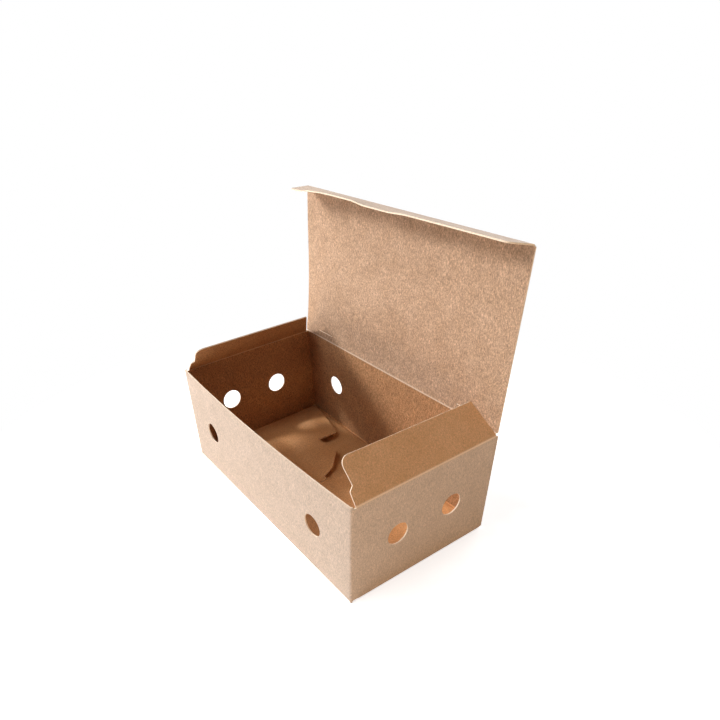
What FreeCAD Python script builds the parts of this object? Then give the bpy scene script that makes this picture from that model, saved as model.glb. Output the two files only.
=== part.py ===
import FreeCAD, Part

import math
import os

from FreeCAD import Vector

# A kraft carton folded from one die-cut blank, standing open with its lid up.
# The origin is the middle of the footprint, on the ground. +X runs along the long
# walls, -Y is the front wall, +Y the back wall that carries the lid, +Z is up.

# The board and its folds
board = 0.8
fold_radius = 1.4
crease_gap = 0.55
layer_gap = 0.1

# The box
box_length = 200.0
box_width = 110.0
wall_height = 73.5
front_bow = 3.0
lid_rest_gap = 0.2

# The round vent holes
vent_diameter = 15.0
vent_height = 36.6
vent_inset_long = 36.8
vent_inset_short = 34.0

# The glue lap inside the back right corner
lap_width = 13.0
lap_end_room = 3.0
lap_taper = 4.0

# The lid and its tuck flap
lid_side_room = 0.5
tuck_clearance = 0.5
tuck_length = 17.5
tuck_side_room = 1.0
tuck_taper = 1.8
tuck_corner_radius = 5.0
lid_open_angle = 94.0
tuck_fold_angle = 80.0
slit_length = 17.0
slit_width = 0.5
slit_from_end = 18.0
slit_from_crease = 5.2

# The dust flaps
dust_height = 27.0
dust_back_height = 25.0
dust_front_room = 3.4
dust_back_room = 1.8
dust_shoulder = 8.5
dust_notch_depth = 2.8
dust_notch_rise = 2.4
dust_slant = 1.8
dust_taper = 9.0
dust_corner_radius = 5.0
dust_back_radius = 1.0
dust_notch_radius = 1.0
dust_angle_left = 51.0
dust_angle_right = 55.0

# The locked bottom: how far in the flaps run level, and how far they climb
sill = 2.0
climb_long = 6.0
climb_short = 16.0
flap_corner_radius = 2.0

# A side bottom flap, measured in from its own wall and across from the middle line
side_hinge_back = 53.3
side_hinge_front = -49.0
side_relief_reach = 10.0
side_relief_front = -42.5
side_step_reach = 52.5
side_step_back = 40.0
side_step_front = 23.5
side_nose_reach = 74.0
side_tip_reach = 90.5
side_tip_back = 8.5
side_end_reach = 93.0
side_end_back = -2.5
side_meet_gap = 0.3
side_front_meet = -22.0
side_front_step = -44.0

# The back bottom flap, whose edge steps in to clear the climb of the side flaps
back_hinge_room = 1.6
back_shoulder_reach = 1.6
back_neck_reach = 5.0
back_neck_inset = 15.0
back_flap_reach = 82.0
back_flap_taper = 18.0
slot_reach = 47.0
slot_width = 5.0
slot_side_room = 2.0

# The front bottom flap and the tongue that climbs through the slot
front_hinge_room = 1.6
front_shoulder_reach = 5.0
front_neck_reach = 13.0
front_neck_inset = 13.0
front_flap_reach = 36.0
front_flap_inset = 42.0
tongue_width = 56.0
tongue_reach = 72.0

half_length = box_length / 2
half_width = box_width / 2
half_board = board / 2
level = board + layer_gap
back_crease_height = wall_height
side_crease_height = back_crease_height - board - lid_rest_gap
lid_axis_y = half_width - half_board
dust_axis_x = half_length - half_board
lid_length = box_width - 2 * board - tuck_clearance
ALONG_X = Vector(1, 0, 0)
ALONG_Y = Vector(0, 1, 0)
UP = Vector(0, 0, 1)


def block(x0, x1, y0, y1, z0, z1):
    """A box between two corners."""
    return Part.makeBox(x1 - x0, y1 - y0, z1 - z0, Vector(x0, y0, z0))


def outline(corners):
    """A closed flat wire through corners (x, y, radius), each rounded by its radius."""
    edges = []
    ends = []
    for i, (x, y, radius) in enumerate(corners):
        here = Vector(x, y, 0)
        back = Vector(*corners[i - 1][:2], 0) - here
        ahead = Vector(*corners[(i + 1) % len(corners)][:2], 0) - here
        back.normalize()
        ahead.normalize()
        if radius == 0:
            ends.append((here, here))
            continue
        half = back.getAngle(ahead) / 2
        first = here + back * (radius / math.tan(half))
        last = here + ahead * (radius / math.tan(half))
        inward = back + ahead
        inward.normalize()
        middle = here + inward * (radius / math.sin(half) - radius)
        edges.append(Part.Arc(first, middle, last).toShape())
        ends.append((first, last))
    for i, (first, last) in enumerate(ends):
        edges.append(Part.LineSegment(ends[i - 1][1], first).toShape())
    return Part.Wire(Part.__sortEdges__(edges))


def prism(wire, z0, z1):
    """The solid over a flat outline from one height to another."""
    face = Part.Face(wire)
    face.translate(Vector(0, 0, z0))
    return face.extrude(Vector(0, 0, z1 - z0))


def corner_fold(x, y, start_angle, z0, z1):
    """A wall turning through a quarter circle about an upright line."""
    centre = Vector(x, y, z0)
    outer = Part.makeCylinder(fold_radius, z1 - z0, centre, UP, 90)
    inner = Part.makeCylinder(fold_radius - board, z1 - z0, centre, UP, 90)
    fold = outer.cut(inner)
    fold.rotate(centre, UP, start_angle)
    return fold


def front_wall():
    """The front wall, straight at its fold and bowed out along its free top edge."""
    end = half_length - fold_radius
    outer = -half_width
    inner = outer + board
    z0, z1 = fold_radius, wall_height
    foot = Part.makePolygon([Vector(-end, outer, z0), Vector(end, outer, z0), Vector(end, inner, z0),
                             Vector(-end, inner, z0), Vector(-end, outer, z0)])
    rim = Part.Wire([
        Part.Arc(Vector(-end, outer, z1), Vector(0, outer - front_bow, z1), Vector(end, outer, z1)).toShape(),
        Part.makeLine(Vector(end, outer, z1), Vector(end, inner, z1)),
        Part.Arc(Vector(end, inner, z1), Vector(0, inner - front_bow, z1), Vector(-end, inner, z1)).toShape(),
        Part.makeLine(Vector(-end, inner, z1), Vector(-end, outer, z1)),
    ])
    return Part.makeLoft([foot, rim], True, True)


def walls():
    """The four walls with three plain corners and the glued one at the back right."""
    z0 = fold_radius
    side_top = side_crease_height - crease_gap
    back_top = back_crease_height - crease_gap
    inside_right = half_length - board
    bend_x = half_length - fold_radius
    bend_y = half_width - fold_radius
    glued_bend = inside_right - fold_radius
    lap_low, lap_high = lap_ends()
    return [
        front_wall(),
        block(-half_length, -half_length + board, -bend_y, bend_y, z0, side_top),
        block(inside_right, half_length, -bend_y, half_width - layer_gap, z0, side_top),
        block(-bend_x, glued_bend, half_width - board, half_width, z0, back_top),
        corner_fold(-bend_x, -bend_y, 180, 0, wall_height),
        corner_fold(bend_x, -bend_y, 270, 0, wall_height),
        corner_fold(-bend_x, bend_y, 90, 0, back_top),
        corner_fold(glued_bend, bend_y, 0, lap_low, lap_high),
        glue_lap(inside_right, bend_y),
    ]


def lap_ends():
    """The lowest and highest point of the glued fold, cut short of the other creases."""
    return fold_radius + lap_end_room, side_crease_height - lap_end_room


def glue_lap(outer_x, start_y):
    """The tapered lap that continues the back wall and is glued inside the right wall."""
    z0, z1 = lap_ends()
    end_y = start_y - lap_width
    shape = Part.makePolygon([Vector(outer_x, start_y, z0), Vector(outer_x, end_y, z0 + lap_taper),
                              Vector(outer_x, end_y, z1 - lap_taper), Vector(outer_x, start_y, z1),
                              Vector(outer_x, start_y, z0)])
    return Part.Face(shape).extrude(Vector(-board, 0, 0))


def folded_strip(reach, heights, length):
    """Board that turns in from a wall's foot and then follows (distance, height) points.

    It is made for a wall whose outer face is the plane x = 0, and runs towards +X.
    """
    r = fold_radius
    inner = r - board
    lower = [(r, 0.0)] + heights + [(reach, heights[-1][1])]
    upper = [(x, z + board) for x, z in reversed(lower)]
    diagonal = math.sqrt(0.5)
    edges = [Part.Arc(Vector(0, 0, r), Vector(r - r * diagonal, 0, r - r * diagonal), Vector(r, 0, 0)).toShape()]
    run = [Vector(x, 0, z) for x, z in lower + upper]
    edges += [Part.makeLine(a, b) for a, b in zip(run, run[1:])]
    edges.append(Part.Arc(Vector(r, 0, board), Vector(r - inner * diagonal, 0, r - inner * diagonal),
                          Vector(board, 0, r)).toShape())
    edges.append(Part.makeLine(Vector(board, 0, r), Vector(0, 0, r)))
    face = Part.Face(Part.Wire(edges))
    face.translate(Vector(0, -length / 2, 0))
    return face.extrude(Vector(0, length, 0))


def side_bottom_flap():
    """The bottom flap of the left wall: the top layer, stepped and pointed towards the middle."""
    lie = 3 * level
    strip = folded_strip(half_length, [(fold_radius + sill, 0.0), (fold_radius + sill + climb_short, lie)],
                         box_width)
    r = flap_corner_radius
    shape = outline([
        (0, side_hinge_front, 0),
        (0, side_hinge_back, 0),
        (side_step_reach, side_step_back, r),
        (side_step_reach, side_step_front, 0),
        (side_nose_reach, side_step_front, r),
        (side_tip_reach, side_tip_back, r),
        (side_end_reach, side_end_back, 0),
        (half_length - side_meet_gap / 2, side_end_back, 0),
        (half_length - side_meet_gap / 2, side_front_meet, r),
        (side_nose_reach, side_front_step, r),
        (side_relief_reach, side_relief_front, 0),
    ])
    flap = strip.common(prism(shape, -level, lie + level))
    flap.translate(Vector(-half_length, 0, 0))
    return flap


def tongue_slot():
    """Where the slot lies, measured in from the back wall's outer face, and its half length."""
    return slot_reach, slot_reach + slot_width, tongue_width / 2 + slot_side_room


def back_bottom_flap():
    """The middle layer, hinged on the back wall, with the slot for the tongue."""
    lie = level
    strip = folded_strip(back_flap_reach, [(fold_radius + sill, 0.0), (fold_radius + sill + climb_long, lie)],
                         box_length)
    hinge = half_length - back_hinge_room
    neck = half_length - back_neck_inset
    end = neck - back_flap_taper
    shape = outline([
        (0, -hinge, 0), (0, hinge, 0), (back_shoulder_reach, hinge, 0), (back_neck_reach, neck, 0),
        (back_flap_reach, end, flap_corner_radius), (back_flap_reach, -end, flap_corner_radius),
        (back_neck_reach, -neck, 0), (back_shoulder_reach, -hinge, 0),
    ])
    flap = strip.common(prism(shape, -level, lie + level))
    near, far, half = tongue_slot()
    flap = flap.cut(block(near, far, -half, half, -level, lie + 2 * level))
    flap.rotate(Vector(0, 0, 0), UP, -90)
    flap.translate(Vector(0, half_width, 0))
    return flap


def front_bottom_flap():
    """The lowest layer, hinged on the front wall; its tongue climbs through the slot."""
    near, far, _ = tongue_slot()
    climb_start = box_width - far
    climb_end = box_width - near
    strip = folded_strip(tongue_reach, [(climb_start, 0.0), (climb_end, 2 * level)], box_length)
    hinge = half_length - front_hinge_room
    neck = half_length - front_neck_inset
    end = half_length - front_flap_inset
    tongue = tongue_width / 2
    r = flap_corner_radius
    shape = outline([
        (0, -hinge, 0), (0, hinge, 0), (front_shoulder_reach, hinge, 0), (front_neck_reach, neck, 0),
        (front_flap_reach, end, r), (front_flap_reach, tongue, 0), (tongue_reach, tongue, r),
        (tongue_reach, -tongue, r), (front_flap_reach, -tongue, 0), (front_flap_reach, -end, r),
        (front_neck_reach, -neck, 0), (front_shoulder_reach, -hinge, 0),
    ])
    flap = strip.common(prism(shape, -level, 4 * level))
    flap.rotate(Vector(0, 0, 0), UP, 90)
    flap.translate(Vector(0, -half_width, 0))
    return flap


def bottom():
    """The four bottom flaps, locked; the right one is the left one seen in a mirror."""
    left = side_bottom_flap()
    right = left.mirror(Vector(0, 0, 0), ALONG_X)
    return [left, right, back_bottom_flap(), front_bottom_flap()]


def vent_drills():
    """One drill through the front and back walls per pair of holes, and one per end pair."""
    radius = vent_diameter / 2
    drills = []
    for side in (-1, 1):
        x = side * (half_length - vent_inset_long)
        y = side * (half_width - vent_inset_short)
        long_run = box_width + 4 * front_bow
        start = Vector(x, -long_run / 2, vent_height)
        drills.append(Part.makeCylinder(radius, long_run, start, ALONG_Y))
        start = Vector(-half_length - board, y, vent_height)
        drills.append(Part.makeCylinder(radius, box_length + 2 * board, start, ALONG_X))
    return drills


def carton_body():
    """Everything that stays still: four walls, the glue lap and the locked bottom."""
    pieces = walls() + bottom()
    body = pieces[0].multiFuse(pieces[1:])
    return body.cut(vent_drills()).removeSplitter()


def raise_lid(shape):
    """Swings a closed lid panel, or what is on it, up to where it stands."""
    shape.rotate(Vector(0, lid_axis_y, back_crease_height), ALONG_X, -lid_open_angle)
    return shape


def lid_panel():
    """The lid with a short slit near each end of its crease."""
    side = half_length - lid_side_room
    hinge = lid_axis_y - crease_gap
    front = lid_axis_y - lid_length + crease_gap
    z0 = back_crease_height - half_board
    panel = block(-side, side, front, hinge, z0, z0 + board)
    slit_y = lid_axis_y - slit_from_crease
    for end in (-1, 1):
        near = end * (half_length - slit_from_end)
        far = near - end * slit_length
        x0, x1 = sorted((near, far))
        slit = block(x0, x1, slit_y - slit_width / 2, slit_y + slit_width / 2, z0 - board, z0 + 2 * board)
        panel = panel.cut(slit)
    return raise_lid(panel)


def tuck_flap():
    """The flap along the lid's free edge, with tapered ends and round corners."""
    root = half_length - board - tuck_side_room
    tip = root - tuck_taper
    crease_y = lid_axis_y - lid_length
    first = crease_y - crease_gap
    last = crease_y - tuck_length
    shape = outline([
        (-root, first, 0), (-tip, last, tuck_corner_radius),
        (tip, last, tuck_corner_radius), (root, first, 0),
    ])
    z0 = back_crease_height - half_board
    flap = prism(shape, z0, z0 + board)
    flap.rotate(Vector(0, crease_y, back_crease_height), ALONG_X, tuck_fold_angle)
    return raise_lid(flap)


def dust_flap(side, angle):
    """A dust flap on the left (-1) or right (+1) wall, leaning in from upright.

    Its front edge has a shoulder, a notch and a slant; its back edge is cut away
    so that it passes under the lid.
    """
    front = -half_width + dust_front_room
    back = half_width - dust_back_room
    notch = front + dust_notch_depth
    slant = notch - dust_slant
    shoulder = dust_shoulder + dust_notch_rise
    top = dust_axis_x

    def at(reach, y, radius):
        return (side * (top - reach), y, radius)

    corners = [
        at(crease_gap, front, 0),
        at(dust_shoulder, front, dust_notch_radius),
        at(shoulder, notch, dust_notch_radius),
        at(dust_height, slant, dust_corner_radius),
        at(dust_back_height, back - dust_taper, dust_back_radius),
        at(crease_gap, back, 0),
    ]
    z0 = side_crease_height - half_board
    flap = prism(outline(corners), z0, z0 + board)
    flap.rotate(Vector(side * top, 0, side_crease_height), ALONG_Y, side * angle)
    return flap


def write(name, shape):
    """Saves one piece and says what it measures."""
    shape.exportStep("parts/" + name + ".step")
    box = shape.BoundBox
    print(name, "solids", len(shape.Solids), "valid", shape.isValid(),
          "volume %.1f" % shape.Volume,
          "x %.2f..%.2f y %.2f..%.2f z %.2f..%.2f" % (box.XMin, box.XMax, box.YMin, box.YMax,
                                                    box.ZMin, box.ZMax))


os.makedirs("parts", exist_ok=True)
write("carton_body", carton_body())
write("lid_panel", lid_panel())
write("tuck_flap", tuck_flap())
write("dust_flap_left", dust_flap(-1, dust_angle_left))
write("dust_flap_right", dust_flap(1, dust_angle_right))
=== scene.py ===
# %% [markdown]
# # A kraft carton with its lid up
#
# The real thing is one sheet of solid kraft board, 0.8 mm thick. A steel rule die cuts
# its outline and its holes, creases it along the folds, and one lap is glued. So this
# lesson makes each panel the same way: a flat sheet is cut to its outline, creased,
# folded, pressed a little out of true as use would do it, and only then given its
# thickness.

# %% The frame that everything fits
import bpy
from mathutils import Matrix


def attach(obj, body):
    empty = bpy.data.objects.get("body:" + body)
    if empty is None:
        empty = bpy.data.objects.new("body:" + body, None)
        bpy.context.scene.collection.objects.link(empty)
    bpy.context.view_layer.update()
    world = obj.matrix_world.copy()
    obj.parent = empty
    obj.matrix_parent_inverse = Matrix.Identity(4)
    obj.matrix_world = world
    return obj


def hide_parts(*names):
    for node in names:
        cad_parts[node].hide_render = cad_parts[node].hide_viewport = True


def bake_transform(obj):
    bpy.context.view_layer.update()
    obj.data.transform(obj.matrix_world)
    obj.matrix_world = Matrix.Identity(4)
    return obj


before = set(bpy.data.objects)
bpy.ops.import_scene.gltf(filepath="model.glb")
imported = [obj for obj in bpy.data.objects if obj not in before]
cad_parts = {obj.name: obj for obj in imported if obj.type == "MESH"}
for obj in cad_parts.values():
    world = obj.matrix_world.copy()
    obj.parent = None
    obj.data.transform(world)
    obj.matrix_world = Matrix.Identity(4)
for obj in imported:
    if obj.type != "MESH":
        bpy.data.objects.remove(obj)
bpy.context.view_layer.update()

# %% Units and directions
import math

import bpy
from mathutils import Matrix, Vector

MM = 0.001
RIGHT, BACK, UP = Vector((1, 0, 0)), Vector((0, 1, 0)), Vector((0, 0, 1))
print("one metre is", round(1 / MM), "mm")

# %% [markdown]
# ## The camera
#
# The photograph looks down into the box over its right front corner. The lens and the
# place below came from matching the box's known corners to the picture. A small shift
# stands for the crop: the lens's axis isn't in the middle of the frame.

# %% The camera
PICTURE = 720
eye = bpy.data.cameras.new("photo_camera")
eye.sensor_width = 36.0
eye.lens = 30.3115
eye.shift_x = 49.7 / PICTURE
eye.shift_y = 97.7 / PICTURE
eye.clip_start = 0.01
camera = bpy.data.objects.new("photo_camera", eye)
bpy.context.scene.collection.objects.link(camera)
look = Vector((-0.68609324, 0.43757768, -0.58120722))
sideways = Vector((0.5676294, 0.82167532, -0.05144451))
upward = sideways.cross(look)
camera.matrix_world = Matrix.Translation(Vector((288.379, -197.774, 275.416)) * MM) @ Matrix(
    (sideways, upward, -look)).transposed().to_4x4()
bpy.context.scene.camera = camera
print("camera at", [round(v, 4) for v in camera.location])

# %% [markdown]
# ## The board's finishes
#
# Kraft board is unbleached pulp: long brown fibres, rolled flat, with darker flecks of
# bark and paler clouds where the pulp lay thicker. The colour could come from one flat
# tone, but board never looks like plastic because of those clouds, fibres and flecks, so
# each finish mixes them from noise at their real sizes. All patterns read the object's
# own coordinates in millimetres, so they run on from panel to panel as on one sheet.

# %% Helpers for finishes
def linear(hex_colour):
    """A colour written as sRGB hex, as the linear values that the shader wants."""
    parts = [int(hex_colour[i:i + 2], 16) / 255 for i in (1, 3, 5)]
    return [p / 12.92 if p <= 0.04045 else ((p + 0.055) / 1.055) ** 2.4 for p in parts] + [1.0]


def add(tree, kind, links=None, **settings):
    """One node, with its settings, and with its sockets linked or set."""
    node = tree.nodes.new(kind)
    for name, value in settings.items():
        setattr(node, name, value)
    for socket, value in (links or {}).items():
        if isinstance(value, bpy.types.NodeSocket):
            tree.links.new(value, node.inputs[socket])
        else:
            node.inputs[socket].default_value = value
    return node


def kraft(name, pulp, cloud, fleck, roughness, cloud_size, grain):
    """Unbleached board: clouds, fibres and flecks, with a faint tooth to the surface."""
    finish = bpy.data.materials.new(name)
    finish.use_nodes = True
    tree = finish.node_tree
    tree.nodes.clear()
    place = add(tree, "ShaderNodeTexCoord").outputs["Object"]
    in_mm = add(tree, "ShaderNodeVectorMath", {0: place, 3: 1 / MM}, operation="SCALE").outputs[0]
    # clouds, where the pulp lay thicker or thinner
    clouds = add(tree, "ShaderNodeTexNoise", {"Vector": in_mm, "Scale": 1 / cloud_size, "Detail": 4.0,
                                              "Roughness": 0.6})
    cloudy = add(tree, "ShaderNodeMapRange", {0: clouds.outputs[0], 1: 0.3, 2: 0.7})
    tone = add(tree, "ShaderNodeMix", {0: cloudy.outputs[0], 6: linear(pulp), 7: linear(cloud)},
               data_type="RGBA").outputs[2]
    # grain: the tangle of pulp, in tufts of about a millimetre
    tufts = add(tree, "ShaderNodeTexNoise", {"Vector": in_mm, "Scale": 1 / 1.0, "Detail": 4.0,
                                             "Roughness": 0.75})
    tuft_tone = add(tree, "ShaderNodeMapRange", {0: tufts.outputs[0], 1: 0.3, 2: 0.7, 3: 1 - grain,
                                                 4: 1 + grain})
    # fibres lie up the walls, as the mill rolled them; 0.03 mm thick, drawn 0.5 mm so that they show
    stretched = add(tree, "ShaderNodeMapping", {"Vector": in_mm, "Scale": (1.0, 1.0, 0.25)}).outputs[0]
    fibres = add(tree, "ShaderNodeTexNoise", {"Vector": stretched, "Scale": 1 / 0.5, "Detail": 3.0,
                                              "Roughness": 0.7, "Distortion": 0.3})
    fibre_tone = add(tree, "ShaderNodeMapRange", {0: fibres.outputs[0], 1: 0.3, 2: 0.7, 3: 1 - grain,
                                                  4: 1 + grain})
    both = add(tree, "ShaderNodeMath", {0: tuft_tone.outputs[0], 1: fibre_tone.outputs[0]},
               operation="MULTIPLY").outputs[0]
    tone = add(tree, "ShaderNodeVectorMath", {0: tone, 3: both}, operation="SCALE").outputs[0]
    # flecks of bark, about a millimetre, few and far between
    specks = add(tree, "ShaderNodeTexNoise", {"Vector": in_mm, "Scale": 1 / 1.1, "Detail": 3.0,
                                              "Roughness": 0.7})
    few = add(tree, "ShaderNodeMapRange", {0: specks.outputs[0], 1: 0.62, 2: 0.74, 3: 0.0, 4: 0.5})
    tone = add(tree, "ShaderNodeMix", {0: few.outputs[0], 6: tone, 7: linear(fleck)},
               data_type="RGBA").outputs[2]
    # the crease lines: a painted highlight, where the bead of each crease would catch the light
    line = add(tree, "ShaderNodeAttribute", attribute_name="crease").outputs["Fac"]
    tone = add(tree, "ShaderNodeMix", {0: line, 6: tone, 7: linear("#FFEBD2")}, data_type="RGBA").outputs[2]
    tooth = add(tree, "ShaderNodeBump", {"Height": tufts.outputs[0], "Strength": 0.35,
                                         "Distance": 0.08 * MM})
    skin = add(tree, "ShaderNodeBsdfPrincipled", {"Base Color": tone, "Roughness": roughness,
                                                  "Normal": tooth.outputs[0], "Specular IOR Level": 0.25})
    add(tree, "ShaderNodeOutputMaterial", {"Surface": skin.outputs[0]})
    return finish

# %% The finishes
# Kraft liner, machine-calendered: the outer side, pale and even, with a soft matt glow
liner = kraft("kraft_liner", "#C8B29F", "#D0BAA8", "#A08064", 0.72, 14.0, 0.22)
# Kraft liner on the small flaps, a warmer and more golden tone: painted warm light, bounced from inside the
# box
liner_painted_bounce = kraft("kraft_liner_painted_bounce", "#D3A67C", "#DAAE86", "#A87C50", 0.66, 14.0, 0.2)
# Kraft back, uncoated: the inner side of the lid, browner, tufted and quite without gloss
back_lid = kraft("kraft_back_lid", "#B49377", "#C09F84", "#8A674A", 0.85, 12.0, 0.42)
# Kraft back inside the box, a shade darker and warmer than the lid's: painted shade, with painted warm light
# bounced about inside the box
back = kraft("kraft_back", "#AE8059", "#BA8C63", "#7C5A3C", 0.82, 11.0, 0.44)
# Kraft back on the bottom flaps, the warmest of all: painted warm light bounced about inside the box; worn
# smooth by what it carries
back_painted_bounce = kraft("kraft_back_painted_bounce", "#C38D5B", "#CB9767", "#84592F", 0.7, 11.0, 0.25)
# Kraft core, torn by the cutting rule: the edge of the board, pale and fuzzy, and made paler still as a
# painted highlight along the cut edges
core = kraft("kraft_core_painted_highlight", "#F0DAC0", "#F5E2CB", "#D2AE88", 0.9, 3.0, 0.1)
print("finishes:", [m.name for m in (liner, liner_painted_bounce, back_lid, back, back_painted_bounce, core)])

# %% [markdown]
# ## Tools for a sheet of board
#
# On a real die every panel starts as a flat outline with a few rounded corners. It could
# be drawn as a curve, but then it has no faces to bend. A filled circle with as many
# points as the outline has corners does it in a few steps: its points go to the corners,
# the round ones are bevelled, and straight cuts add the rows of points that a fold needs.

# %% Helpers to choose points
BOARD = 0.8


def edit(piece, chosen=None):
    """Opens a piece in edit mode with the chosen points selected, or all of them."""
    bpy.ops.object.select_all(action="DESELECT")
    piece.select_set(True)
    bpy.context.view_layer.objects.active = piece
    bpy.ops.object.mode_set(mode="EDIT")
    bpy.ops.mesh.select_mode(type="VERT")
    bpy.ops.mesh.select_all(action="SELECT" if chosen is None else "DESELECT")
    if chosen is not None:
        bpy.ops.object.mode_set(mode="OBJECT")
        for index in chosen:
            piece.data.vertices[index].select = True
        bpy.ops.object.mode_set(mode="EDIT")


def leave():
    bpy.ops.object.mode_set(mode="OBJECT")


def points_where(piece, test):
    """The numbers of the points whose place in mm passes a test."""
    return [p.index for p in piece.data.vertices if test(*(p.co / MM))]

# %% Helpers to cut a flat sheet
def die_cut(name, corners):
    """A flat sheet facing up, from its corners (x, y, radius) in mm."""
    bpy.ops.object.select_all(action="DESELECT")
    bpy.ops.mesh.primitive_circle_add(vertices=len(corners), fill_type="NGON")
    sheet = bpy.context.object
    sheet.name = sheet.data.name = name
    for point, (x, y, _) in zip(sheet.data.vertices, corners):
        point.co = (x * MM, y * MM, 0)
    sheet.data.update()
    for i, (x, y, radius) in enumerate(corners):
        if radius == 0:
            continue
        here = Vector((x, y))
        before = Vector(corners[i - 1][:2]) - here
        after = Vector(corners[(i + 1) % len(corners)][:2]) - here
        run = radius / math.tan(before.angle(after) / 2)
        edit(sheet, points_where(sheet, lambda px, py, pz: math.hypot(px - x, py - y) < 0.01))
        bpy.ops.mesh.bevel(offset=run * MM, offset_type="OFFSET", segments=6, affect="VERTICES")
        leave()
    if sheet.data.polygons[0].normal.z < 0:
        edit(sheet)
        bpy.ops.mesh.flip_normals()
        leave()
    return sheet


def cut_rows(sheet, axis, places):
    """Straight cuts across a sheet, which add the points that it bends at."""
    edit(sheet)
    for place in places:
        bpy.ops.mesh.select_all(action="SELECT")
        bpy.ops.mesh.bisect(plane_co=axis * place * MM, plane_no=axis)
    leave()


def steps(first, last, size):
    """Even places between two ends, about size apart, without the ends."""
    count = max(1, round((last - first) / size))
    return [first + (last - first) * i / count for i in range(1, count)]

# %% [markdown]
# ## Folding
#
# A crease in board isn't a hinge pin: the rule crushes a band about a millimetre wide,
# and the fold turns evenly across it. A bend modifier would do it too, but it bends from
# a single origin and is hard to place. Here the sheet is cut in six rows across the
# crease, and what lies beyond each row is turned by a sixth of the angle, about that row.

# %% Helpers to fold a sheet and stand it up
CREASE_ROWS = (-0.5, -0.3, -0.1, 0.1, 0.3, 0.5)
# two more rows beside the crease keep its painted highlight from fading out over the whole panel
BESIDE_CREASE = (0.8, 1.3)


def fold(sheet, angle):
    """Folds a flat sheet at y = 0 by an angle in degrees, up (+) or down (-)."""
    cut_rows(sheet, BACK, CREASE_ROWS + BESIDE_CREASE)
    reach = [point.co.y / MM for point in sheet.data.vertices]
    for row in CREASE_ROWS:
        on_row = min(range(len(reach)), key=lambda i: abs(reach[i] - row))
        pivot = sheet.data.vertices[on_row].co.copy()
        edit(sheet, [i for i, y in enumerate(reach) if y > row + 0.01])
        bpy.ops.transform.rotate(value=-math.radians(angle / len(CREASE_ROWS)), orient_axis="X",
                                 center_override=pivot)
        leave()


def stand(sheet, origin, along, reach, outside):
    """Puts a sheet in its place: x runs along, y reaches out, its face looks outside."""
    turn = Matrix((along, reach, outside)).transposed().to_4x4()
    sheet.matrix_world = Matrix.Translation(Vector(origin) * MM) @ turn
    bpy.ops.object.select_all(action="DESELECT")
    sheet.select_set(True)
    bpy.context.view_layer.objects.active = sheet
    bpy.ops.object.transform_apply(location=True, rotation=True, scale=True)


def press(piece, rule):
    """Presses each point out of true, by what a rule gives for its place in mm."""
    for point in piece.data.vertices:
        point.co += Vector(rule(*(point.co / MM))) * MM
    piece.data.update()

# %% [markdown]
# ## Thickness and finish
#
# The two sides of a board differ: a smoother liner outside and a rough back inside, with
# the torn core showing at each cut edge. A solid could be painted face by face, but the
# solidify modifier already knows which side a face came from, so it hands out all three.

# %% Helpers to thicken and finish a sheet
CREASE_HIGHLIGHT_WIDTH = 0.55
SHARP = 32


def thicken(piece, outside, inside):
    """Gives the sheet its thickness, with a finish on each side and the core on its cut edges."""
    for finish in (outside, inside, core):
        piece.data.materials.append(finish)
    layer = piece.modifiers.new("board", "SOLIDIFY")
    layer.thickness = BOARD * MM
    layer.offset = 0
    layer.use_even_offset = True
    layer.material_offset = 1
    layer.material_offset_rim = 2
    bpy.context.view_layer.objects.active = piece
    bpy.ops.object.modifier_apply(modifier=layer.name)


def paint_crease_highlights(piece, lines):
    """Paints a highlight along each crease: writes how near each point lies to a crease (through a point,
    along a direction).
    """
    near = piece.data.attributes.new("crease", "FLOAT", "POINT")
    for point in piece.data.vertices:
        value = 0.0
        for origin, direction in lines:
            away = (point.co / MM - Vector(origin)).cross(direction).length
            value = max(value, math.exp(-(away / CREASE_HIGHLIGHT_WIDTH) ** 2))
        near.data[point.index].value = value


def finish_piece(piece, lines=()):
    """Smooth over the soft folds, and sharp at the cut edges."""
    # the creases get a painted pale highlight
    paint_crease_highlights(piece, lines)
    bpy.ops.object.select_all(action="DESELECT")
    piece.select_set(True)
    bpy.context.view_layer.objects.active = piece
    bpy.ops.object.shade_smooth_by_angle(angle=math.radians(SHARP))
    print(piece.name, "has", len(piece.data.polygons), "faces")

# %% [markdown]
# ## The four walls
#
# The walls are one band that runs round the box, glued at the back right corner, where
# the back wall ends in a lap inside the right one. A band could be bent from a strip, but
# a box with its upright edges bevelled is the same shape with far less work. Its top and
# bottom are taken away, and the glued corner is opened and turned in.

# %% The band of walls
LENGTH, WIDTH, HEIGHT = 200.0, 110.0, 73.5
FOLD = 1.4
HALF = BOARD / 2
SIDE_TOP = 71.95
BACK_TOP = 72.95
mid_x, mid_y = LENGTH / 2 - HALF, WIDTH / 2 - HALF
bend_x, bend_y = LENGTH / 2 - FOLD, WIDTH / 2 - FOLD

bpy.ops.object.select_all(action="DESELECT")
bpy.ops.mesh.primitive_cube_add(size=1, location=(0, 0, (HEIGHT + FOLD) / 2 * MM))
walls = bpy.context.object
walls.name = walls.data.name = "walls"
walls.scale = (2 * mid_x * MM, 2 * mid_y * MM, (HEIGHT - FOLD) * MM)
bpy.ops.object.transform_apply(location=True, rotation=True, scale=True)
edit(walls)
bpy.ops.mesh.select_mode(type="EDGE")
bpy.ops.mesh.select_all(action="DESELECT")
leave()
for edge in walls.data.edges:
    a, b = (walls.data.vertices[i].co for i in edge.vertices)
    edge.select = abs(a.z - b.z) > 0.01
bpy.ops.object.mode_set(mode="EDIT")
bpy.ops.mesh.bevel(offset=(FOLD - HALF) * MM, offset_type="OFFSET", segments=5, affect="EDGES")
leave()


def drop_faces(piece, test):
    """Takes away the faces whose middle, in mm, passes a test."""
    edit(piece)
    bpy.ops.mesh.select_all(action="DESELECT")
    bpy.ops.mesh.select_mode(type="FACE")
    leave()
    for face in piece.data.polygons:
        face.select = test(*(face.center / MM))
    bpy.ops.object.mode_set(mode="EDIT")
    bpy.ops.mesh.delete(type="FACE")
    leave()


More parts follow.
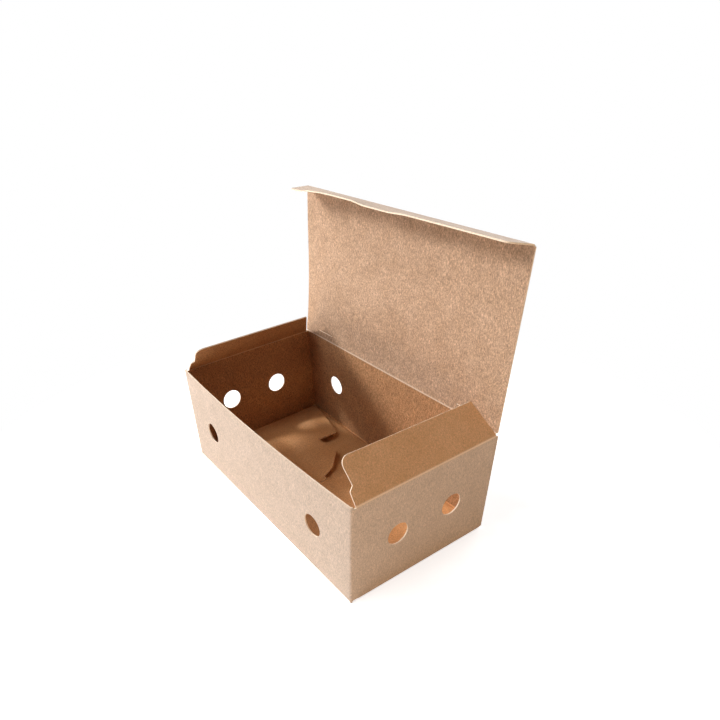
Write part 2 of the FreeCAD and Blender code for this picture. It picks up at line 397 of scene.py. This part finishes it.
drop_faces(walls, lambda x, y, z: z > HEIGHT - 0.01 or z < FOLD + 0.01)
drop_faces(walls, lambda x, y, z: x > bend_x and y > bend_y)
cut_rows(walls, RIGHT, steps(-bend_x, bend_x, 5.0))
cut_rows(walls, BACK, steps(-bend_y, bend_y, 5.0))
cut_rows(walls, UP, steps(FOLD, SIDE_TOP, 6.0) + [SIDE_TOP, BACK_TOP])
drop_faces(walls, lambda x, y, z: z > SIDE_TOP and abs(x) > bend_x and abs(y) < bend_y)
drop_faces(walls, lambda x, y, z: z > BACK_TOP and y > 0)
# the rounded upright corners go on down to the ground, past the creases of the bottom flaps
for end_x in (-1, 1):
    for end_y in (-1, 1):
        foot = points_where(walls, lambda x, y, z: z < FOLD + 0.01 and x * end_x > bend_x - 0.01
                            and y * end_y > bend_y - 0.01)
        if len(foot) > 2:
            edit(walls, foot)
            bpy.ops.mesh.extrude_region_move(TRANSFORM_OT_translate={"value": (0, 0, (0.05 - FOLD) * MM)})
            leave()
print("band:", len(walls.data.polygons), "faces")

# %% [markdown]
# ## The glued corner
#
# The back wall stops one board short of the corner, turns there and runs on as a lap
# behind the right wall. Glue holds it. Its ends slant so that it doesn't catch in the
# folding machine. Spinning the wall's own end edge makes the turn without a seam.

# %% The glued corner
LAP, LAP_SLANT = 13.0, 4.0
LAP_LOW, LAP_HIGH = 4.4, 69.5
lap_fold_x = mid_x - BOARD - (FOLD - HALF)
end_of_right = points_where(walls, lambda x, y, z: x > mid_x - 0.01 and abs(y - bend_y) < 0.01)
edit(walls, end_of_right)
bpy.ops.mesh.extrude_region_move(TRANSFORM_OT_translate={"value": (0, (FOLD - 0.1) * MM, 0)})
leave()
end_of_back = points_where(walls, lambda x, y, z: y > mid_y - 0.01 and abs(x - bend_x) < 0.01)
edit(walls, end_of_back)
bpy.ops.transform.translate(value=((lap_fold_x - bend_x) * MM, 0, 0))
leave()
cut_rows(walls, UP, [LAP_LOW, LAP_HIGH])
edit(walls, points_where(walls, lambda x, y, z: y > mid_y - 0.01 and abs(x - lap_fold_x) < 0.01
                         and LAP_LOW - 0.01 < z < LAP_HIGH + 0.01))
bpy.ops.mesh.spin(steps=5, angle=math.radians(90), axis=UP, center=(lap_fold_x * MM, bend_y * MM, 0))
bpy.ops.mesh.extrude_region_move(TRANSFORM_OT_translate={"value": (0, -LAP * MM, 0)})
bpy.ops.transform.resize(value=(1, 1, 1 - 2 * LAP_SLANT / (LAP_HIGH - LAP_LOW)),
                         center_override=(0, 0, (LAP_HIGH + LAP_LOW) / 2 * MM))
leave()
print("lap reaches", [round(v / MM, 2) for v in walls.data.vertices[-1].co])

# %% [markdown]
# ## Out of true
#
# A locked carton is never quite square. The front wall has a free top edge and bows out;
# the rim stays straight, but the feet have moved, by what the camera fit showed for each.
# Both could be sculpted by eye. As rules for a place they can serve the bottom flaps too,
# so that flaps and walls still meet. The vents are punched last, with round rims.

# %% The bow and the moved feet
BOW = 3.0


def bow_front(x, y, z):
    """The front wall bows out along its free top edge and stays straight at its foot."""
    if y > -bend_y:
        return (0, 0, 0)
    rise = (z - FOLD) / (HEIGHT - FOLD)
    return (0, -BOW * rise * max(0.0, 1 - (x / bend_x) ** 2), 0)


# how far each corner's foot stands from its place under the rim, in x and y
FEET = {(-1, -1): (2.9, 0.0), (1, -1): (-1.7, 0.0), (1, 1): (-1.5, -2.0), (-1, 1): (0.0, 4.0)}


def settle(x, y, z):
    """A locked carton is never quite true: its rim is straight, but its feet have moved."""
    across, deep = (x / LENGTH + 0.5), (y / WIDTH + 0.5)
    low = max(0.0, 1 - z / HEIGHT)
    shift = [0.0, 0.0, 0.0]
    for (side_x, side_y), foot in FEET.items():
        weight = (across if side_x > 0 else 1 - across) * (deep if side_y > 0 else 1 - deep)
        shift[0] += weight * low * foot[0]
        shift[1] += weight * low * foot[1]
    return shift


press(walls, bow_front)
press(walls, settle)
# the inner side of the walls is painted shade, darker than the lid's inner side
thicken(walls, liner, back)
print("feet moved by", FEET)

# %% The vent holes
VENT, VENT_HEIGHT = 15.0, 36.6
VENT_X, VENT_Y = 63.2, 21.0
DRILL = 260.0


def punch(piece, place, along):
    """Cuts a round hole with the die's core finish on its rim."""
    turn = (math.pi / 2, 0, 0) if along == "Y" else (0, math.pi / 2, 0)
    bpy.ops.object.select_all(action="DESELECT")
    bpy.ops.mesh.primitive_cylinder_add(vertices=64, radius=VENT / 2 * MM, depth=DRILL * MM,
                                        location=Vector(place) * MM, rotation=turn)
    drill = bpy.context.object
    drill.data.materials.append(core)
    cut = piece.modifiers.new("vent", "BOOLEAN")
    cut.object = drill
    cut.operation = "DIFFERENCE"
    cut.solver = "EXACT"
    cut.material_mode = "TRANSFER"
    bpy.context.view_layer.objects.active = piece
    bpy.ops.object.modifier_apply(modifier=cut.name)
    bpy.data.objects.remove(drill)


for side in (-1, 1):
    punch(walls, (side * VENT_X, 0, VENT_HEIGHT), "Y")
    punch(walls, (0, side * VENT_Y, VENT_HEIGHT), "X")
finish_piece(walls)
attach(walls, "carton")
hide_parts("carton_body")

# %% [markdown]
# ## The locked bottom
#
# Four flaps make the bottom. Nothing holds them but their own outlines: the front flap's
# tongue climbs through a slot in the back flap, and the side flaps lie on top. Each is
# cut flat, raised to its own layer, and its hinge edge is spun up into its wall's foot.
# Locking strains them: the floor has heaved, and the left flap has sprung up at its edge.

# %% Helpers for a bottom flap
LEVEL = 0.9
HEAVE_ROWS = [FOLD + r for r in (0.4, 0.8, 1.3, 1.9, 2.5, 3.1, 6, 9, 12, 15)]


def climb(sheet, profile):
    """Raises a flat flap to the heights of a profile of (reach, height) points, in mm."""
    def rule(x, y, z):
        for (y0, z0), (y1, z1) in zip(profile, profile[1:]):
            if y <= y1:
                return (0, 0, -(z0 + (z1 - z0) * max(0.0, y - y0) / (y1 - y0)))
        return (0, 0, -profile[-1][1])

    press(sheet, rule)


def turn_up_hinge(sheet):
    """Spins the hinge edge round the fold, up to where the wall's foot starts."""
    edit(sheet, points_where(sheet, lambda x, y, z: abs(y - FOLD) < 0.01))
    bpy.ops.mesh.spin(steps=5, angle=math.radians(-90), axis=RIGHT,
                      center=(0, FOLD * MM, -(FOLD - HALF) * MM))
    bpy.ops.mesh.select_all(action="SELECT")
    bpy.ops.mesh.normals_make_consistent(inside=False)
    leave()
    flat = max(sheet.data.polygons, key=lambda f: f.area)
    if flat.normal.z < 0:
        edit(sheet)
        bpy.ops.mesh.flip_normals()
        leave()

# %% The side flaps
side_flap = [(-49, FOLD, 0), (-42.5, 10, 0), (-44, 76, 2), (-22, 99.85, 2), (-1, 99.85, 0),
             (-1, 96.5, 0), (8.5, 94.3, 2), (22.5, 79.5, 2), (20, 58.5, 0), (36.5, 59.5, 1), (53.3, FOLD, 0)]
climb_side = [(FOLD, 0), (FOLD + 2, 0), (FOLD + 18, 3 * LEVEL), (100, 3 * LEVEL)]


def side_bottom(name, side):
    """A side flap: the top layer, stepped and pointed towards the middle."""
    corners = [(x, y, r) for x, y, r in side_flap]
    if side > 0:
        corners = [(-x, y, r) for x, y, r in reversed(corners)]
    sheet = die_cut(name, corners)
    cut_rows(sheet, BACK, HEAVE_ROWS + [FOLD + 18] + steps(FOLD + 18, 100, 3.0))
    cut_rows(sheet, RIGHT, steps(-54, 54, 3.0))
    climb(sheet, climb_side)
    turn_up_hinge(sheet)
    stand(sheet, (side * LENGTH / 2, 0, HALF), BACK * -side, RIGHT * -side, -UP)
    return sheet

# %% How the bottom has sprung
SPRING, SWELL, HEAVE = 4.5, 1.5, 2.2


def soft(value, low, high):
    """0 below low, 1 above high, and a smooth rise between them."""
    t = min(1.0, max(0.0, (value - low) / (high - low)))
    return t * t * (3 - 2 * t)


def sprung(x, y, z):
    """The left flap's edge has sprung up, and two swells show where it was pushed."""
    lift = SPRING * soft(x, -86, -48) * soft(y, -8, 14)
    swell = 0.0
    for cx, cy in ((-64, -7), (-70, 32)):
        swell += SWELL * math.exp(-((x - cx) / 9) ** 2 - ((y - cy) / 8) ** 2) * soft(x, -96, -84)
    return (0, 0, lift + swell)


def heaved(x, y, z):
    """Locking pushes the whole bottom up a little, steeply at its creases."""
    from_wall = min(LENGTH / 2 - abs(x), WIDTH / 2 - abs(y))
    return (0, 0, HEAVE * soft(from_wall, 1.0, 4.5))


side_flaps = [side_bottom("bottom_flap_left", -1), side_bottom("bottom_flap_right", 1)]
press(side_flaps[0], sprung)

# %% The back flap with its slot
SLOT_X, SLOT_LOW, SLOT_HIGH = 30, 47, 52
back_flap = [(-98.4, FOLD, 0), (-98.4, 1.6, 0), (-85, 5, 0), (-67, 82, 2), (67, 82, 2), (85, 5, 0),
             (98.4, 1.6, 0), (98.4, FOLD, 0)]
sheet_back = die_cut("bottom_flap_back", back_flap)
cut_rows(sheet_back, BACK, HEAVE_ROWS + [FOLD + 8, SLOT_LOW, SLOT_HIGH])
cut_rows(sheet_back, RIGHT, [-SLOT_X, SLOT_X] + steps(-97, 97, 3.0))
drop_faces(sheet_back, lambda x, y, z: abs(x) < SLOT_X and SLOT_LOW < y < SLOT_HIGH)
climb(sheet_back, [(FOLD, 0), (FOLD + 2, 0), (FOLD + 8, LEVEL), (100, LEVEL)])
turn_up_hinge(sheet_back)
stand(sheet_back, (0, WIDTH / 2, HALF), RIGHT, -BACK, -UP)

# %% The front flap with its tongue
front_flap = [(-98.4, FOLD, 0), (-98.4, 5, 0), (-87, 13, 0), (-58, 36, 2), (-28, 36, 0), (-28, 72, 2),
              (28, 72, 2), (28, 36, 0), (58, 36, 2), (87, 13, 0), (98.4, 5, 0), (98.4, FOLD, 0)]
sheet_front = die_cut("bottom_flap_front", front_flap)
cut_rows(sheet_front, BACK, HEAVE_ROWS + [58, 63])
cut_rows(sheet_front, RIGHT, steps(-97, 97, 3.0))
climb(sheet_front, [(FOLD, 0), (58, 0), (63, 2 * LEVEL), (100, 2 * LEVEL)])
turn_up_hinge(sheet_front)
stand(sheet_front, (0, -WIDTH / 2, HALF), -RIGHT, BACK, -UP)

for sheet in side_flaps + [sheet_back, sheet_front]:
    press(sheet, heaved)
    press(sheet, settle)
    # the bottom flaps' inner side carries the painted warm bounce light
    thicken(sheet, liner, back_painted_bounce)
    finish_piece(sheet)
    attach(sheet, "carton")

# %% [markdown]
# ## The lid
#
# The lid hangs on the back wall by its crease. Two short slits near the ends of the
# crease let the dust flaps' shoulders find their place. Board that has lain closed
# keeps a swell, and this lid bulges towards the box while its left edge bends back.

# %% The lid
LID_REACH = 107.9
LID_LEAN = 4.0
LID_SWELL, LID_EDGE = 2.4, 2.2
SLIT, SLIT_ROW = (82.0, 65.0), 5.2
lid = die_cut("lid", [(-98.4, -0.55, 0), (98.4, -0.55, 0), (99.5, 0.55, 0), (99.5, LID_REACH - 0.55, 0),
                      (-99.5, LID_REACH - 0.55, 0), (-99.5, 0.55, 0)])
slit_rows = [SLIT_ROW - 0.25, SLIT_ROW + 0.25]
cut_rows(lid, BACK, slit_rows + steps(6, LID_REACH, 5.0))
cut_rows(lid, RIGHT, [side * end for side in (-1, 1) for end in SLIT] + steps(-60, 60, 5.0)
         + [-95, -90, -86, -75, 75, 90])
drop_faces(lid, lambda x, y, z: SLIT[1] < abs(x) < SLIT[0] and slit_rows[0] < y < slit_rows[1])
fold(lid, LID_LEAN)
axis_lid = Vector((0, mid_y, 73.5))
stand(lid, axis_lid, -RIGHT, UP, BACK)
lean = math.radians(LID_LEAN)
lid_up = Vector((0, math.sin(lean), math.cos(lean)))
lid_out = Vector((0, math.cos(lean), -math.sin(lean)))


def hump(value, middle, width):
    """1 at the middle and almost nothing two widths away."""
    return math.exp(-((value - middle) / width) ** 2)


def bulging(x, y, z):
    """The lid swells towards the box, low and left of its middle, and its left edge bends back."""
    reach = (Vector((x, y, z)) - axis_lid).dot(lid_up)
    held = soft(reach, 0.6, 14) * (1 - soft(reach, LID_REACH - 16, LID_REACH - 1))
    swell = LID_SWELL * hump(reach, 38, 24) * hump(x, -22, 62)
    edge = LID_EDGE * hump(x, -101, 17) * hump(reach, 40, 36)
    return lid_out * (edge - swell) * held


press(lid, bulging)
thicken(lid, liner, back_lid)
finish_piece(lid, [(axis_lid, RIGHT)])
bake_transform(lid)
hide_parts("lid_panel")

# %% [markdown]
# ## The tuck flap
#
# The tuck is the lid's free strip, which goes in behind the front wall. After a few
# openings its edge is no longer straight: one end hangs and the middle stands up. A noise
# would make it wavy, but not like this one, so a table says how far each place droops.

# %% The tuck flap
TUCK_REACH, TUCK_FOLD = 17.3, 80.0
axis_tuck = axis_lid + lid_up * LID_REACH
tuck_dir = Matrix.Rotation(math.radians(TUCK_FOLD), 3, "X") @ lid_up
tuck_under = RIGHT.cross(tuck_dir)
tuck = die_cut("tuck", [(-98.8, -0.55, 0), (98.8, -0.55, 0), (98.2, 0.55, 0), (96.4, TUCK_REACH, 4),
                        (-96.4, TUCK_REACH, 4), (-98.2, 0.55, 0)])
cut_rows(tuck, BACK, steps(1, TUCK_REACH, 2.5))
cut_rows(tuck, RIGHT, steps(-95, 95, 4.0))
fold(tuck, -TUCK_FOLD)
stand(tuck, axis_tuck, -RIGHT, lid_up, lid_out)
# (place along the lid, how far the free edge droops): the left end hangs, the middle is up
TUCK_DROOP = [(-99, 3.2), (-85, 2.8), (-72, 1.2), (-60, 0.4), (-45, 0.15), (-28, 0.15), (-15, 1.2),
              (5, 1.2), (25, 0.2), (60, 0.15), (99, 0.15)]


def between(table, x):
    """Reads a table of (place, value) pairs at a place, with smooth rises."""
    for (x0, v0), (x1, v1) in zip(table, table[1:]):
        if x <= x1:
            return v0 + (v1 - v0) * soft(x, x0, x1)
    return table[-1][1]


def drooping(x, y, z):
    """The tuck's free edge sags by what the table gives, and its crease stays straight."""
    reach = max(0.0, (Vector((x, y, z)) - axis_tuck).dot(tuck_dir) - 0.6) / TUCK_REACH
    return tuck_under * between(TUCK_DROOP, x) * reach


press(tuck, drooping)
thicken(tuck, liner, back_lid)
finish_piece(tuck, [(axis_tuck, RIGHT)])
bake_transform(tuck)
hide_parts("tuck_flap")

# %% [markdown]
# ## The dust flaps
#
# A dust flap closes each end before the lid comes down. Its front edge has a shoulder
# and a notch, and its back edge slants away from the lid. Left and right are cut the
# same, and each leans in by as much as the photograph shows.

# %% The dust flaps
DUST_TOP = 72.5


def dust_flap(name, side, lean_in, node):
    """A dust flap on the left (-1) or right (+1) wall, leaning in from upright."""
    outline = [(-51.6, -0.55, 0), (-51.6, 8.5, 1), (-48.8, 10.9, 1), (-50.6, 27.0, 5),
               (44.2, 25.0, 1), (53.2, 0.55, 0), (53.2, -0.55, 0)]
    if side > 0:
        corners = [(y, reach, radius) for y, reach, radius in reversed(outline)]
    else:
        corners = [(-y, reach, radius) for y, reach, radius in outline]
    sheet = die_cut(name, corners)
    cut_rows(sheet, BACK, steps(1, 27, 4.0))
    cut_rows(sheet, RIGHT, steps(-55, 55, 5.0))
    fold(sheet, -lean_in)
    axis = Vector((side * mid_x, 0, DUST_TOP))
    stand(sheet, axis, BACK * side, UP, RIGHT * side)
    # the outside's golden tone is painted warm bounce light, and the inside is painted shade
    thicken(sheet, liner_painted_bounce, back)
    finish_piece(sheet, [(axis, BACK)])
    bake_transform(sheet)
    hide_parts(node)


dust_flap("dust_left", -1, 90 - 51, "dust_flap_left")
dust_flap("dust_right", 1, 90 - 55, "dust_flap_right")

# %% [markdown]
# ## The studio
#
# The picture was taken on a sweep of white paper. One large soft lamp stands at the left
# and in front, so the front wall is bright and the right wall lies in its own shade. A
# low warm lamp keeps that shade brown, and two smaller ones above throw the tuck's shadow
# on the lid. More white light from all round would do it too, but it would wash out the
# inside of the box. The lamps stay at a level at which the board looks as it is written.

# %% The floor
bpy.ops.object.select_all(action="DESELECT")
bpy.ops.mesh.primitive_plane_add(size=4.0, location=(0, 0, -0.2 * MM))
floor = bpy.context.object
floor.name = "floor"
paper = bpy.data.materials.new("white_paper")
paper.use_nodes = True
tree = paper.node_tree
tree.nodes.clear()


def seen_directly(tree):
    """1 for what the camera sees, also in a mirror or through glass, and 0 for light that fills in."""
    rays = add(tree, "ShaderNodeLightPath").outputs
    sum_one = add(tree, "ShaderNodeMath", {0: rays["Is Camera Ray"], 1: rays["Is Glossy Ray"]},
                  operation="MAXIMUM").outputs[0]
    return add(tree, "ShaderNodeMath", {0: sum_one, 1: rays["Is Transmission Ray"]},
               operation="MAXIMUM").outputs[0]


# the sweep of paper is lit evenly to white away from the box, and keeps a shadow at its foot
spot = add(tree, "ShaderNodeTexCoord").outputs["Object"]
far = add(tree, "ShaderNodeVectorMath", {0: spot}, operation="LENGTH").outputs["Value"]
fade = add(tree, "ShaderNodeMapRange", {0: far, 1: 0.1, 2: 0.3}).outputs[0]
matt = add(tree, "ShaderNodeBsdfDiffuse", {"Color": linear("#F4F4F4")})
glow = add(tree, "ShaderNodeEmission", {"Color": (1, 1, 1, 1), "Strength": 0.75})
white = add(tree, "ShaderNodeEmission", {"Color": (1, 1, 1, 1), "Strength": 1.0})
near = add(tree, "ShaderNodeAddShader", {0: matt.outputs[0], 1: glow.outputs[0]})
sweep = add(tree, "ShaderNodeMixShader", {0: fade, 1: near.outputs[0], 2: white.outputs[0]})
pick = add(tree, "ShaderNodeMixShader", {0: seen_directly(tree), 1: matt.outputs[0], 2: sweep.outputs[0]})
add(tree, "ShaderNodeOutputMaterial", {"Surface": pick.outputs[0]})
floor.data.materials.append(paper)
print("floor:", [round(v, 2) for v in floor.dimensions], "m")

# %% The white room
room = bpy.data.worlds.new("white_room")
room.use_nodes = True
tree = room.node_tree
tree.nodes.clear()
dim = add(tree, "ShaderNodeBackground", {"Color": (1, 1, 1, 1), "Strength": 0.05})
white = add(tree, "ShaderNodeBackground", {"Color": (1, 1, 1, 1), "Strength": 1.0})
pick = add(tree, "ShaderNodeMixShader", {0: seen_directly(tree), 1: dim.outputs[0], 2: white.outputs[0]})
add(tree, "ShaderNodeOutputWorld", {"Surface": pick.outputs[0]})
bpy.context.scene.world = room
print("world:", room.name)

# %% The lamps
def lamp(name, place, target, size, power, colour):
    """A square soft box in metres and watts, aimed at a point."""
    light = bpy.data.lights.new(name, "AREA")
    light.size = size
    light.energy = power
    light.color = linear(colour)[:3]
    box = bpy.data.objects.new(name, light)
    bpy.context.scene.collection.objects.link(box)
    box.location = place
    box.rotation_euler = (Vector(target) - Vector(place)).to_track_quat("-Z", "Y").to_euler()
    return box


lamp("left_key", (-1.6, -0.95, 1.05), (0, 0, 0.06), 0.45, 41.0, "#FFFFFF")
lamp("low_front", (-0.3, -1.3, 0.22), (0, 0, 0.08), 0.4, 2.0, "#FFFFFF")
lamp("top_front", (-0.1, -0.7, 1.15), (0, 0, 0.05), 0.4, 4.0, "#FFFFFF")
lamp("top_left", (-1.2, -0.2, 0.98), (0, 0, 0.03), 0.2, 11.0, "#FFFFFF")
right_low = lamp("right_low", (1.0, -0.25, 0.06), (0, 0, 0.06), 0.8, 3.5, "#FFD6A3")
right_low.data.shape = "RECTANGLE"
right_low.data.size_y = 0.1
lamp("back_fill", (-0.4, 1.3, 0.45), (0, 0, 0.1), 0.7, 8.0, "#FFFFFF")
print("lamps:", [light.name for light in bpy.data.lights])

# %% The view, and the end
bpy.context.scene.view_settings.view_transform = "Standard"
